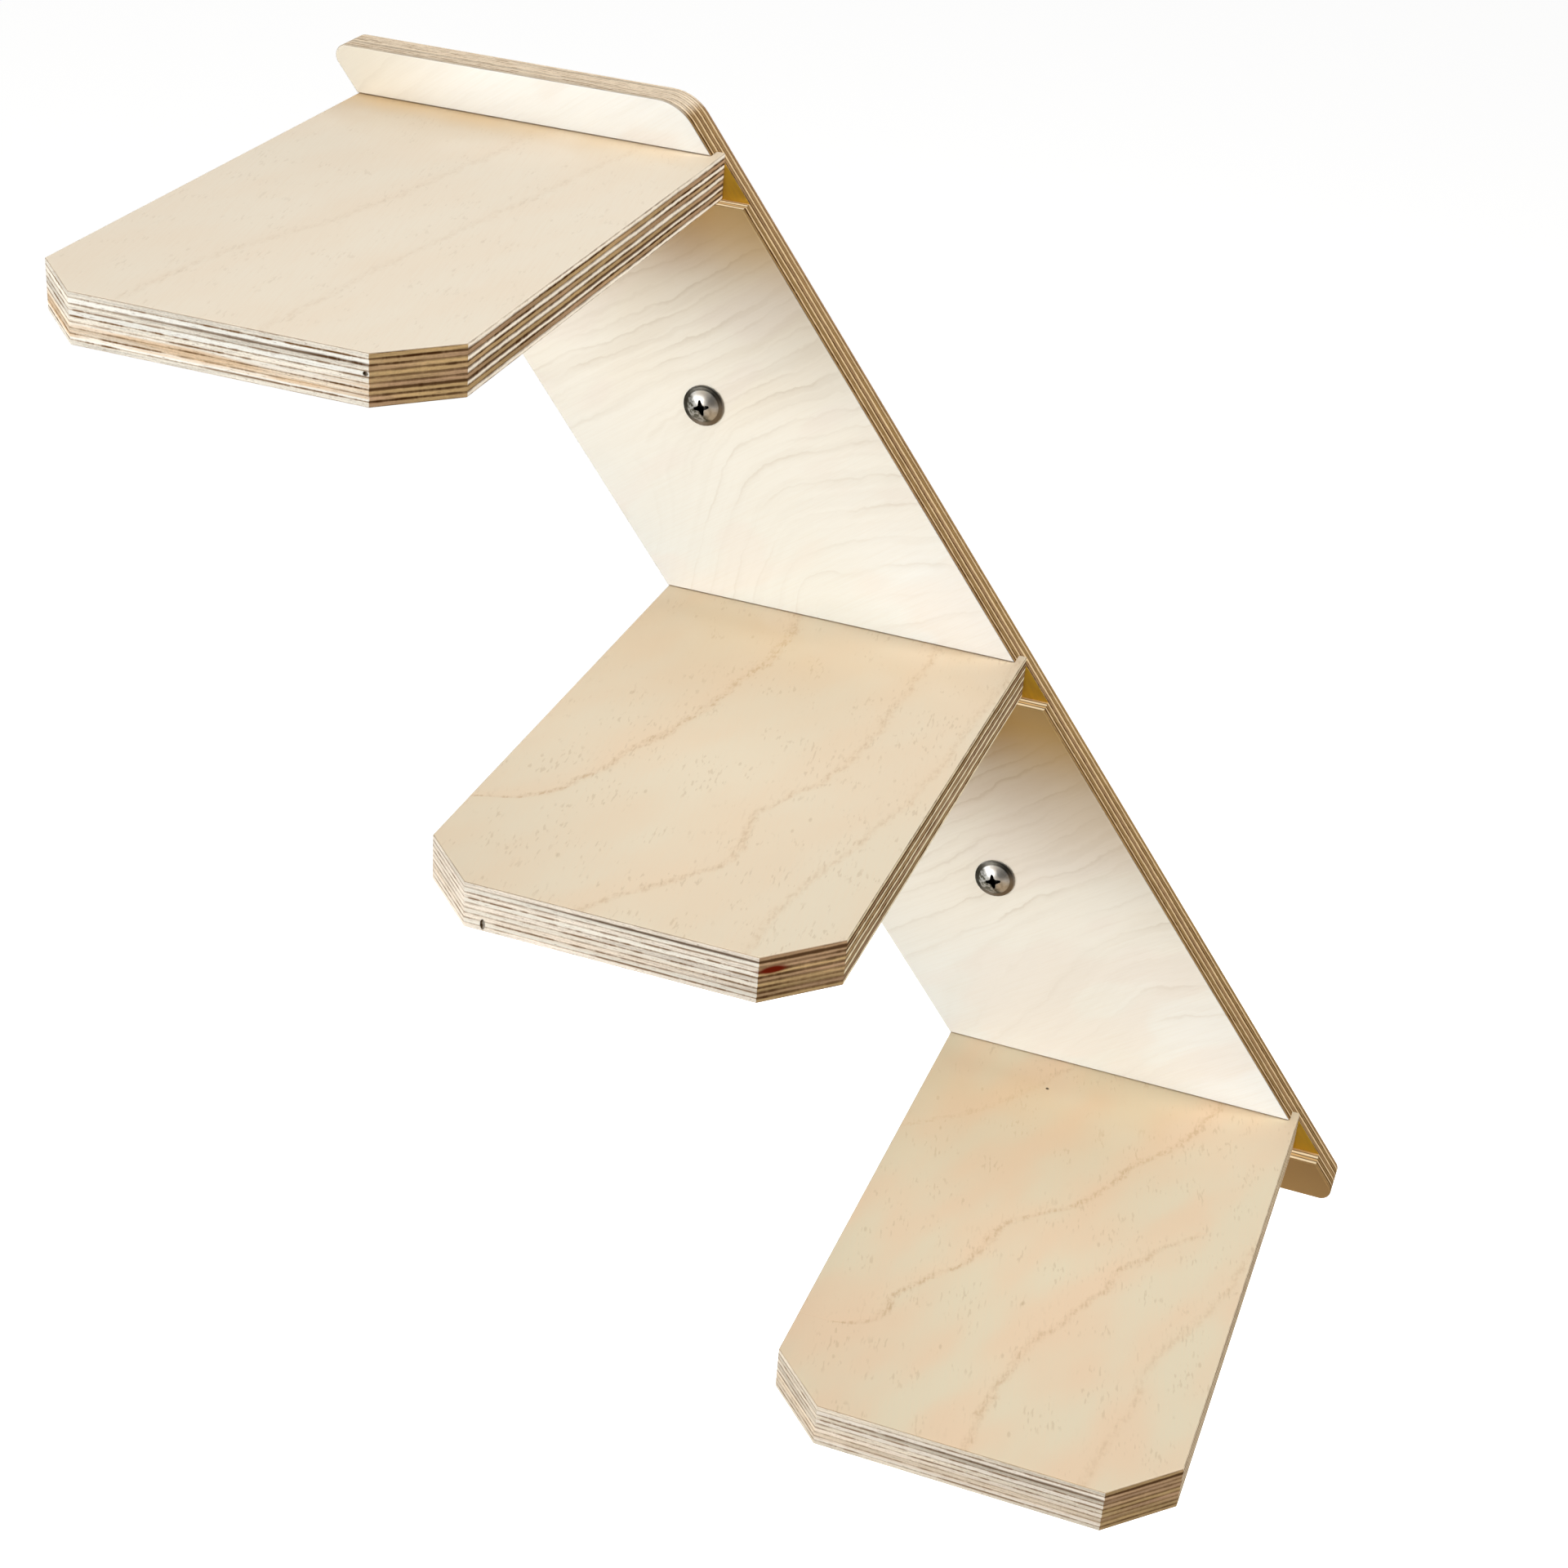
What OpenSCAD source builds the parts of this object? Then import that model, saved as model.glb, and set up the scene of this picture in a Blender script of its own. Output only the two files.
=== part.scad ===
// Wall-mounted cat stairs: three plywood steps in a slanting plywood back plate.
// Lengths are in millimetres. X runs right along the wall, Y into the wall, Z up.
// The origin lies on the plate's rear face, midway between the two wall screws.

/* [Steps] */
// Length of each step along the wall
step_w = 100; // [90:1:160]
// How far each step stands out from the plate's front face
step_reach = 160; // [120:1:220]
// Thickness of the step plywood
step_t = 12; // [9:0.5:18]
// Size of the 45 degree cuts on the two front corners
step_chamfer = 15; // [5:0.5:30]

/* [Climb] */
// Height from one step to the next
step_rise = 120; // [100:1:180]
// Sideways travel from one step to the next
step_run = 93; // [60:1:120]

/* [Back plate] */
// Width of the plate, measured level
plate_w = 98; // [90:1:150]
// Thickness of the plate plywood
plate_t = 12; // [10:0.5:18]
// Plate above the upper step's top face
top_margin = 12; // [10:0.5:40]
// Plate below the lower step's underside
bottom_margin = 11; // [10:0.5:40]
// Distance from each corner to where its rounding starts
corner_setback = 6; // [2:0.5:9]
// Depth of the grooves that hold the steps
dado_depth = 5; // [3:0.5:6]
// Play between a groove and its step
dado_play = 0.1; // [0.05:0.05:0.4]

/* [Wall screws] */
// Thread diameter of the wall screws
wall_screw_d = 4.2; // [3.5:0.1:5]
// Length of the wall screws under the head
wall_screw_l = 41; // [32:1:75]
// Diameter of the plain neck between the head and the thread
wall_neck_d = 3; // [2.4:0.1:3.4]
// Length over which the neck widens to the thread
wall_neck_taper = 0.6; // [0.3:0.1:1.5]
// Length of the wall screws' pointed end
wall_tip_l = 6; // [4:0.5:8]
// Diameter of the wafer head
wafer_d = 11.2; // [10:0.1:14]
// Height of the wafer head
wafer_h = 2.6; // [2.2:0.1:3.5]
// Thickness of the wafer head where its dome starts
wafer_rim_t = 0.9; // [0.7:0.1:1.2]
// Thickness of the wafer head at its edge
wafer_edge_t = 0.5; // [0.3:0.1:0.7]
// Diameter of the dome on the wafer head
dome_d = 8.8; // [7:0.1:9.5]
// Gap all round between a wall screw and its hole
wall_hole_gap = 0.2; // [0.1:0.05:0.5]
// Turn of the recess in each wall screw, seen from the front
wall_recess_turn = 16; // [0:1:90]

/* [Step screws] */
// Thread diameter of the step screws
step_screw_d = 3.5; // [3:0.1:4]
// Overall length of the step screws
step_screw_l = 35; // [25:1:50]
// Length of the step screws' pointed end
step_tip_l = 5; // [3:0.5:7]
// Diameter of the countersunk head
sunk_head_d = 7; // [6:0.1:8]
// Straight edge of the countersunk head, above its cone
sunk_edge_t = 0.3; // [0.1:0.1:0.5]
// Depth of a step screw's head below the plate's rear face
sunk_below = 0.3; // [0.1:0.05:0.6]
// Distance of a step screw from the step's end
screw_inset = 22; // [15:1:35]
// Gap all round between a step screw and the wood
step_hole_gap = 0.05; // [0.02:0.01:0.2]

/* [Cross recess] */
// Width across the recess at its mouth
recess_w = 4.6; // [4:0.1:5]
// Width across the recess at its floor
recess_floor_w = 2.4; // [1.6:0.1:3]
// Width of one slot of the recess
recess_slot = 1.2; // [0.8:0.1:1.6]
// Depth of the recess
recess_depth = 2.1; // [1.2:0.1:2.4]

/* [Hidden] */
$fn = 64;

// Places along the climb, counted in steps down from the middle one.
// A wall screw sits halfway between two steps.
UPPER = -1;
MIDDLE = 0;
LOWER = 1;
STEPS = [UPPER, MIDDLE, LOWER];
UPPER_SCREW = (UPPER + MIDDLE) / 2;
LOWER_SCREW = (MIDDLE + LOWER) / 2;
LEFT = -1;
RIGHT = 1;
TOP = 1;
BOTTOM = -1;

// The plate's sides lie at this angle to the level, and move this far sideways per unit of height
lean = atan2(step_rise, step_run);
slope = step_run / step_rise;

plate_top = step_rise + step_t / 2 + top_margin;
plate_bottom = -step_rise - step_t / 2 - bottom_margin;
plate_front_y = -plate_t;
dado_floor_y = -(plate_t - dado_depth);
step_front_y = -(plate_t + step_reach);
step_screw_end_y = -(sunk_below + step_screw_l);

// A cut runs this far past the surface that it leaves
past = 1;

function climb(place) = [place * step_run, 0, -place * step_rise];
function plate_left_x(z) = -z * slope - plate_w / 2;
// A step's left end is flush with the plate's left edge at the step's top face
function step_left_x(place) = plate_left_x(climb(place).z + step_t / 2);
function step_screw_x(place, side) =
    step_left_x(place) + (side == LEFT ? screw_inset : step_w - screw_inset);

step_colour = [0.91, 0.84, 0.72];
plate_colour = [0.95, 0.91, 0.82];
bright_steel = [0.72, 0.72, 0.71];
yellow_steel = [0.80, 0.70, 0.42];

// Stands a drawing up against the wall plane, with its back at y = 0
module stand_up(thickness) {
    rotate([90, 0, 0]) linear_extrude(height = thickness) children();
}

// Points a shape's +Z out of the wall, towards the front
module face_front() {
    rotate([90, 0, 0]) children();
}

// Points a shape's +Z into the wall, towards the rear
module face_rear() {
    rotate([-90, 0, 0]) children();
}

module hole_along_y(d, front_y, rear_y) {
    translate([0, rear_y, 0]) face_front() cylinder(d = d, h = rear_y - front_y);
}

module at_step_screw(place, side) {
    translate([step_screw_x(place, side), 0, climb(place).z]) children();
}

// What rounding takes off one corner of the plate: the corner's kite, less a circle that touches both edges.
// All four corners start to round at the same distance, so the two sharp ones get a small radius
// and the two blunt ones a large one.
module corner_waste(side, end) {
    z = end == TOP ? plate_top : plate_bottom;
    corner = [plate_left_x(z) + (side == LEFT ? 0 : plate_w), z];
    along_end = -side * [corner_setback, 0];
    along_side = end * corner_setback * [cos(lean), -sin(lean)];
    sharp = side * end < 0;
    r = corner_setback * (sharp ? tan(lean / 2) : 1 / tan(lean / 2));
    centre = corner + along_end - end * [0, r];
    difference() {
        polygon([corner + along_end, 2 * corner - centre, corner + along_side, centre]);
        translate(centre) circle(r = r);
    }
}

module plate_outline() {
    difference() {
        polygon([
            [plate_left_x(plate_top), plate_top], [plate_left_x(plate_top) + plate_w, plate_top],
            [plate_left_x(plate_bottom) + plate_w, plate_bottom], [plate_left_x(plate_bottom), plate_bottom]
        ]);
        for (side = [LEFT, RIGHT], end = [TOP, BOTTOM]) corner_waste(side, end);
    }
}

// A groove across the whole plate. Its step rests on the lower wall, and the play is above.
module dado(place) {
    length = plate_w + 2 * (step_t * slope + past);
    translate(climb(place) + [-length / 2, plate_front_y - past, -step_t / 2])
        cube([length, dado_depth + past, step_t + dado_play]);
}

// Hole and countersink for one step screw, open at the plate's rear face
module step_screw_hole() {
    mouth_r = sunk_head_d / 2 + step_hole_gap;
    cone_y = -(sunk_below + sunk_edge_t);
    hole_along_y(step_screw_d + 2 * step_hole_gap, dado_floor_y - past, past);
    hole_along_y(2 * mouth_r, cone_y, past);
    translate([0, cone_y, 0]) face_front() cylinder(r1 = mouth_r, r2 = 0, h = mouth_r);
}

module back_plate() {
    color(plate_colour) difference() {
        stand_up(plate_t) plate_outline();
        for (place = STEPS) dado(place);
        for (place = [UPPER_SCREW, LOWER_SCREW])
            translate(climb(place))
                hole_along_y(wall_screw_d + 2 * wall_hole_gap, plate_front_y - past, past);
        for (place = STEPS, side = [LEFT, RIGHT])
            at_step_screw(place, side) step_screw_hole();
    }
}

// A step from above, with its left end at x = 0
module step_outline() {
    polygon([
        [0, dado_floor_y], [step_w, dado_floor_y],
        [step_w, step_front_y + step_chamfer], [step_w - step_chamfer, step_front_y],
        [step_chamfer, step_front_y], [0, step_front_y + step_chamfer]
    ]);
}

module step_board(place) {
    color(step_colour) difference() {
        translate([step_left_x(place), 0, climb(place).z - step_t / 2])
            linear_extrude(height = step_t) step_outline();
        for (side = [LEFT, RIGHT])
            at_step_screw(place, side)
                hole_along_y(
                    step_screw_d + 2 * step_hole_gap,
                    step_screw_end_y - step_hole_gap, dado_floor_y + past
                );
    }
}

// A cross that narrows towards its floor, cut downwards from z = 0
module cross_recess() {
    widening = (recess_w - recess_floor_w) / recess_depth;
    intersection() {
        union() {
            for (turn = [0, 90])
                rotate([0, 0, turn])
                    translate([-recess_w, -recess_slot / 2, -recess_depth])
                        cube([2 * recess_w, recess_slot, recess_depth + past]);
        }
        translate([0, 0, -recess_depth])
            cylinder(d1 = recess_floor_w, d2 = recess_w + widening * past, h = recess_depth + past);
    }
}

// The low dome on a wafer head, standing on z = 0
module dome(d, h) {
    ball_r = (d * d / 4 + h * h) / (2 * h);
    intersection() {
        translate([0, 0, h - ball_r]) sphere(r = ball_r, $fn = 96);
        cylinder(d = d, h = h + past);
    }
}

// Head above z = 0, a plain neck through the plate, and the thread as a plain shank with a point
module wafer_screw() {
    difference() {
        union() {
            rotate_extrude()
                polygon([
                    [0, -wall_screw_l], [wall_screw_d / 2, wall_tip_l - wall_screw_l],
                    [wall_screw_d / 2, -plate_t], [wall_neck_d / 2, wall_neck_taper - plate_t],
                    [wall_neck_d / 2, 0], [wafer_d / 2, 0], [wafer_d / 2, wafer_edge_t],
                    [dome_d / 2, wafer_rim_t], [0, wafer_rim_t]
                ]);
            translate([0, 0, wafer_rim_t]) dome(dome_d, wafer_h - wafer_rim_t);
        }
        translate([0, 0, wafer_h]) cross_recess();
    }
}

module wall_screw(place) {
    color(bright_steel)
        translate(climb(place) + [0, plate_front_y, 0])
            face_front() rotate([0, 0, wall_recess_turn]) wafer_screw();
}

// Flat head with its top at z = 0, and the thread below it as a plain shank with a point
module sunk_screw() {
    cone_h = (sunk_head_d - step_screw_d) / 2;
    difference() {
        rotate_extrude()
            polygon([
                [0, -step_screw_l], [step_screw_d / 2, step_tip_l - step_screw_l],
                [step_screw_d / 2, -sunk_edge_t - cone_h], [sunk_head_d / 2, -sunk_edge_t],
                [sunk_head_d / 2, 0], [0, 0]
            ]);
        cross_recess();
    }
}

module step_screw(place, side) {
    color(yellow_steel)
        at_step_screw(place, side)
            translate([0, -sunk_below, 0]) face_rear() sunk_screw();
}

back_plate();
step_board(UPPER);  // upper_step
step_board(MIDDLE);  // middle_step
step_board(LOWER);  // lower_step
wall_screw(UPPER_SCREW);  // upper_wall_screw
wall_screw(LOWER_SCREW);  // lower_wall_screw
step_screw(UPPER, LEFT);  // upper_step_screw_left
step_screw(UPPER, RIGHT);  // upper_step_screw_right
step_screw(MIDDLE, LEFT);  // middle_step_screw_left
step_screw(MIDDLE, RIGHT);  // middle_step_screw_right
step_screw(LOWER, LEFT);  // lower_step_screw_left
step_screw(LOWER, RIGHT);  // lower_step_screw_right
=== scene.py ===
"""Looks of the wall-mounted cat stairs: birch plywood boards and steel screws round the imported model."""

from functools import partialmethod
from math import atan2, ceil, cos, pi, radians, sin, tan

import bmesh
import bpy
from mathutils import Matrix, Vector


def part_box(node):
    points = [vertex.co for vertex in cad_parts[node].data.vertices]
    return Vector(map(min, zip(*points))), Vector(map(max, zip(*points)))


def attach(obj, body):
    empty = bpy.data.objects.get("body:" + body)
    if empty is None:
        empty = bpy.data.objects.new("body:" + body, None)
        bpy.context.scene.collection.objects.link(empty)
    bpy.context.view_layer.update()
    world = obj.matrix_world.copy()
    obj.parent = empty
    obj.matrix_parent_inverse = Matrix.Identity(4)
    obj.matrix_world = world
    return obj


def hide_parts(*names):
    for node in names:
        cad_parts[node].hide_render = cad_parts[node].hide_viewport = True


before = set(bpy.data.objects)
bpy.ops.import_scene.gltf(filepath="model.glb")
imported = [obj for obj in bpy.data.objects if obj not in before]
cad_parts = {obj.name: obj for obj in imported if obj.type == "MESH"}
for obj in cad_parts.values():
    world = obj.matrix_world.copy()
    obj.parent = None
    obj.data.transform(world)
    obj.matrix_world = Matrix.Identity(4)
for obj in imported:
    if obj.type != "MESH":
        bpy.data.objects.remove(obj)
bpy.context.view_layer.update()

MM = 0.001
STEPS = ("upper_step", "middle_step", "lower_step")

# The camera of the photograph, in metres in the part's own frame
CAMERA_EYE = Vector((0.179968, -0.643146, 0.334568))
CAMERA_RIGHT = Vector((0.939460, 0.335111, 0.071523))
CAMERA_DOWN = Vector((0.226603, -0.451015, -0.863271))
CAMERA_FORWARD = Vector((-0.257034, 0.827216, -0.499648))
FOCAL_PX = 3364.2
IMAGE_PX = 1920
SENSOR_MM = 36.0

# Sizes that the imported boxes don't give, as in the part's source, in mm
PLIES = 9
PLATE_W = 98.0
PLATE_T = 12.0
STEP_T = 12.0
STEP_CHAMFER = 15.0
CORNER_SETBACK = 6.0
DADO_DEPTH = 5.0
DADO_PLAY = 0.1
WALL_HOLE_D = 4.6
SUNK_MOUTH_R = 3.55
SUNK_CONE_DEPTH = 0.6
STEP_HOLE_R = 1.8
STEP_HOLE_DEPTH = 35.35

# Fine shapes of the boards, in mm
EASE = 0.35
EASE_SEGMENTS = 3
ARRIS = 0.4
GROOVE_DEPTH = 0.06
GROOVE_HALF_W = 0.1
MOUTH_FLARE = 0.25
ARC_STEP = radians(8)
SMALL_RADIUS = 1.0
SMALL_ARC_STEPS = 3
MITRE_LIMIT = 0.3
HOLE_SEGMENTS = 40
BOARD_SHARP = radians(12)
MERGE_WITHIN = 1e-4
SPECK = 1e-5
# How far cutters reach past what they cut, and the groove cutters past the plate's ends
PAST = 1.0
BAR_PAST = 30.0


def box_mm(node):
    """The lowest and highest corner of a CAD node, in mm."""
    low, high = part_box(node)
    return low / MM, high / MM


UPPER_LOW, UPPER_HIGH = box_mm("upper_step")
MIDDLE_LOW = box_mm("middle_step")[0]
LOWER_LOW = box_mm("lower_step")[0]
PLATE_LOW, PLATE_HIGH = box_mm("back_plate")
STEP_RISE = UPPER_LOW.z - MIDDLE_LOW.z
STEP_RUN = MIDDLE_LOW.x - UPPER_LOW.x
LEAN = atan2(STEP_RISE, STEP_RUN)
SLOPE = STEP_RUN / STEP_RISE


def new_object(name, build, matrix=Matrix.Identity(4), smooth_below=BOARD_SHARP):
    """An object whose mesh build(bm) makes in mm, placed by matrix."""
    bm = bmesh.new()
    build(bm)
    bmesh.ops.remove_doubles(bm, verts=bm.verts, dist=MERGE_WITHIN)
    bmesh.ops.dissolve_degenerate(bm, edges=bm.edges, dist=SPECK)
    bmesh.ops.recalc_face_normals(bm, faces=bm.faces)
    bm.transform(Matrix.Scale(MM, 4))
    mesh = bpy.data.meshes.new(name)
    bm.to_mesh(mesh)
    bm.free()
    piece = bpy.data.objects.new(name, mesh)
    bpy.context.scene.collection.objects.link(piece)
    piece.matrix_world = matrix
    shade(piece, smooth_below)
    return piece


def shade(piece, smooth_below):
    """Smooth shading, except where faces meet at a larger angle than smooth_below."""
    for polygon in piece.data.polygons:
        polygon.use_smooth = True
    piece.data.set_sharp_from_angle(angle=smooth_below)


def carve(piece, cutters, smooth_below=BOARD_SHARP):
    """Cuts the cutters out of the piece for good, and deletes them."""
    for cutter in cutters:
        cut = piece.modifiers.new("cut", "BOOLEAN")
        cut.operation = "DIFFERENCE"
        cut.solver = "EXACT"
        cut.object = cutter
    bpy.context.view_layer.update()
    graph = bpy.context.evaluated_depsgraph_get()
    carved = bpy.data.meshes.new_from_object(piece.evaluated_get(graph))
    piece.modifiers.clear()
    piece.data = carved
    carved.name = piece.name
    for cutter in cutters:
        bpy.data.objects.remove(cutter)
    shade(piece, smooth_below)


def bridge(bm, rows):
    """Faces between neighbouring closed rows of equally many vertices."""
    for low, high in zip(rows, rows[1:]):
        for i, _ in enumerate(low):
            j = (i + 1) % len(low)
            bm.faces.new((low[i], low[j], high[j], high[i]))


def ring(bm, points, z):
    """A row of vertices at one height."""
    return [bm.verts.new((x, y, z)) for x, y in points]


def circle(radius, segments):
    """Points round a circle, counter-clockwise."""
    angles = [2 * pi * i / segments for i in range(segments)]
    return [(radius * cos(a), radius * sin(a)) for a in angles]


def solid(bm, rows):
    """A closed solid through the rows."""
    bridge(bm, rows)
    bm.faces.new(list(reversed(rows[0])))
    bm.faces.new(rows[-1])


def rounded(corners):
    """An outline with its corners (x, y, radius) rounded, counter-clockwise."""
    points = []
    for i, (x, y, radius) in enumerate(corners):
        here = Vector((x, y))
        back = (Vector(corners[i - 1][:2]) - here).normalized()
        on = (Vector(corners[(i + 1) % len(corners)][:2]) - here).normalized()
        turn = pi - back.angle(on)
        start = here + back * radius * tan(turn / 2)
        middle = here + (back + on).normalized() * radius / cos(turn / 2)
        steps = max(2, ceil(turn / ARC_STEP)) if radius > SMALL_RADIUS else SMALL_ARC_STEPS
        for k in range(steps + 1):
            spoke = start - middle
            spoke.rotate(Matrix.Rotation(turn * k / steps, 2))
            points.append(middle + spoke)
    return points


def inset(points, distance):
    """The outline moved inwards, each corner along the mean of its two edges' normals."""
    moved = []
    for i, here in enumerate(points):
        before = (here - points[i - 1]).normalized()
        after = (points[(i + 1) % len(points)] - here).normalized()
        mean = (before + after).normalized()
        inward = Vector((-mean.y, mean.x))
        moved.append(here + inward * distance / max(MITRE_LIMIT, mean.dot(after)))
    return moved


def board_levels(thickness):
    """(height, inset) of each row up a board's edge: eased corners, and a fine groove at every glue line."""
    quarter = [pi / 2 * k / EASE_SEGMENTS for k in range(EASE_SEGMENTS + 1)]
    levels = [(EASE * (1 - cos(a)), EASE * (1 - sin(a))) for a in quarter]
    for i in range(1, PLIES):
        middle = thickness * i / PLIES
        levels += [(middle - GROOVE_HALF_W, 0), (middle, GROOVE_DEPTH), (middle + GROOVE_HALF_W, 0)]
    levels += [(thickness - height, depth) for height, depth in reversed(levels[:len(quarter)])]
    return levels


def board(name, outline, thickness, matrix):
    """A plywood board: its outline in x and y, its plies along z."""
    def build(bm):
        solid(bm, [ring(bm, inset(outline, depth), height) for height, depth in board_levels(thickness)])

    return new_object(name, build, matrix)


def plate_left_x(z):
    """Where the plate's slanting left edge is at a height."""
    return -z * SLOPE - PLATE_W / 2


def dado_cutter(low, high, matrix):
    """A bar along X that cuts one groove, with a fine flare at its mouth."""
    floor = PLATE_T - DADO_DEPTH
    flare = PLATE_T - MOUTH_FLARE
    profile = [
        (low, floor), (high, floor), (high, flare), (high + MOUTH_FLARE, PLATE_T),
        (high + MOUTH_FLARE, PLATE_T + PAST), (low - MOUTH_FLARE, PLATE_T + PAST),
        (low - MOUTH_FLARE, PLATE_T), (low, flare),
    ]
    reach = PLATE_HIGH.x + BAR_PAST

    def build(bm):
        solid(bm, [[bm.verts.new((x, y, z)) for y, z in profile] for x in (-reach, reach)])

    return new_object("cutter", build, matrix)


def hole_cutter(profile, place, matrix):
    """A round cutter from (radius, z) pairs, at a place in matrix's frame."""
    def build(bm):
        solid(bm, [ring(bm, circle(radius, HOLE_SEGMENTS), z) for radius, z in profile])
        bm.transform(Matrix.Translation(place))

    return new_object("cutter", build, matrix)


def centre_xz(node):
    """The middle of a CAD node's box, seen from the front."""
    low, high = box_mm(node)
    middle = (low + high) / 2
    return middle.x, middle.z


# The plate stands up: its local z is the distance from its rear face towards the front
UPRIGHT = Matrix.Rotation(pi / 2, 4, "X")
STEP_SCREWS = [f"{step}_screw_{side}" for step in STEPS for side in ("left", "right")]
WALL_SCREWS = ["upper_wall_screw", "lower_wall_screw"]


def make_plate():
    """The back plate with three grooves, two wall screw holes and six countersunk holes."""
    sharp_r = CORNER_SETBACK * tan(LEAN / 2)
    blunt_r = CORNER_SETBACK / tan(LEAN / 2)
    bottom, top = PLATE_LOW.z, PLATE_HIGH.z
    outline = rounded([
        (plate_left_x(bottom), bottom, blunt_r),
        (plate_left_x(bottom) + PLATE_W, bottom, sharp_r),
        (plate_left_x(top) + PLATE_W, top, blunt_r),
        (plate_left_x(top), top, sharp_r),
    ])
    for point in outline:
        point.x = min(max(point.x, PLATE_LOW.x), PLATE_HIGH.x)
    plate = board("plate_board", outline, PLATE_T, UPRIGHT)
    cutters = []
    for step in STEPS:
        low, high = box_mm(step)
        cutters.append(dado_cutter(low.z, high.z + DADO_PLAY, UPRIGHT))
    wall_r = WALL_HOLE_D / 2
    flare_r = wall_r + MOUTH_FLARE
    wall_hole = [(flare_r, -PAST), (flare_r, 0), (wall_r, MOUTH_FLARE), (wall_r, PLATE_T + PAST)]
    cone_end = SUNK_CONE_DEPTH + SUNK_MOUTH_R - STEP_HOLE_R
    sunk_hole = [
        (SUNK_MOUTH_R, -PAST), (SUNK_MOUTH_R, SUNK_CONE_DEPTH), (STEP_HOLE_R, cone_end),
        (STEP_HOLE_R, PLATE_T - DADO_DEPTH + PAST),
    ]
    for screws, profile in ((WALL_SCREWS, wall_hole), (STEP_SCREWS, sunk_hole)):
        for screw in screws:
            cutters.append(hole_cutter(profile, (*centre_xz(screw), 0), UPRIGHT))
    carve(plate, cutters)
    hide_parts("back_plate")
    return plate


# Voids in the plies and a stain, as (middle, radii) in mm, right from the step's left end, out from the plate
# and up from the step's underside
PITS = {
    "upper_step": [((84.2, 160.0, 7.4), (0.6, 0.8, 0.5))],
    "middle_step": [((19.6, 160.0, 1.9), (0.6, 0.6, 1.3))],
    "lower_step": [((32.5, 14.3, 12.0), (0.45, 0.45, 0.4))],
}
STAINS = {"middle_step": [((87.4, 157.6, 8.2), (3.4, 3.4, 0.95))]}


def pit_cutter(middle, radii, matrix):
    """A small lens for a void in a ply."""
    right, out, up = middle

    def build(bm):
        bmesh.ops.create_icosphere(bm, subdivisions=2, radius=1)
        bm.transform(Matrix.Translation((right, -out, up)) @ Matrix.Diagonal((*radii, 1)))

    return new_object("cutter", build, matrix)


def make_step(node):
    """One step. Its local origin is at its left end, on the plate's front face, level with its underside."""
    low, high = box_mm(node)
    origin = Vector((low.x, -PLATE_T, low.z))
    matrix = Matrix.Translation(origin * MM)
    width = high.x - low.x
    front = low.y + PLATE_T
    outline = rounded([
        (0, front + STEP_CHAMFER, ARRIS), (STEP_CHAMFER, front, ARRIS),
        (width - STEP_CHAMFER, front, ARRIS), (width, front + STEP_CHAMFER, ARRIS),
        (width, DADO_DEPTH, ARRIS), (0, DADO_DEPTH, ARRIS),
    ])
    step = board(node.replace("_step", "_board"), outline, STEP_T, matrix)
    cutters = [pit_cutter(middle, radii, matrix) for middle, radii in PITS[node]]
    pilot_hole = [(STEP_HOLE_R, -STEP_HOLE_DEPTH), (STEP_HOLE_R, PAST - (PLATE_T - DADO_DEPTH))]
    for side in ("left", "right"):
        x, z = centre_xz(f"{node}_screw_{side}")
        place = Matrix.Translation(Vector((x, 0, z)) * MM)
        cutters.append(hole_cutter(pilot_hole, (0, 0, 0), place @ Matrix.Rotation(-pi / 2, 4, "X")))
    carve(step, cutters)
    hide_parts(node)
    return step


# Screws, in mm along their axis: 0 where the head bears, negative towards the point
SCREW_SEGMENTS = 32
SCREW_SHARP = radians(35)
WALL_SCREW = {"length": 41.0, "tip": 6.0, "outer_r": 2.1, "core_r": 1.42, "pitch": 1.9, "thread_from": -12.0}
STEP_SCREW = {"length": 35.0, "tip": 5.0, "outer_r": 1.75, "core_r": 1.2, "pitch": 1.7, "thread_from": -2.3}
# One turn of a thread: (share of the pitch, share of the thread's height)
THREAD_SHAPE = [(0.0, 0.0), (0.36, 0.0), (0.5, 1.0), (0.54, 1.0), (0.68, 0.0)]
CREST_TAPER = 1.6
NECK_R = 1.5
NECK_RISE = 0.4
NECK_TOP = -0.15
DOME_R = 4.32
DOME_BASE = 0.98
DOME_TOP = 2.6
WAFER_PROFILE = [
    (NECK_R, 0.0), (5.45, 0.0), (5.6, 0.12), (5.6, 0.38), (5.5, 0.5), (5.0, 0.7), (4.5, 0.86),
    (DOME_R, DOME_BASE),
]
DOME_BALL_R = (DOME_R ** 2 + (DOME_TOP - DOME_BASE) ** 2) / (2 * (DOME_TOP - DOME_BASE))
DOME_ROWS = 7
SUNK_R = 3.5
SUNK_EDGE = 0.3
SUNK_EASE = 0.08
SUNK_FOOT = (1.5, -2.1)
# The driver recess: its turn in a wall screw, how far its mouth is below the dome, and its cross
RECESS_TURN = radians(16)
RECESS_SINK = 0.05
RECESS_HALF_SPAN = 2.3
RECESS_FLOOR_HALF_SPAN = 1.2
RECESS_HALF_W = 0.62
RECESS_FLOOR_HALF_W = 0.34
RECESS_DEPTH = 2.1
RECESS_POINT_R = 0.25
RECESS_POINT_DEPTH = 2.4
# Rows of the recess: (height above its mouth, share from its floor's cross to its mouth's)
RECESS_ROWS = [(PAST, 1.25), (0.0, 1.0), (-0.15, 0.93), (-RECESS_DEPTH, 0.0)]


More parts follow.
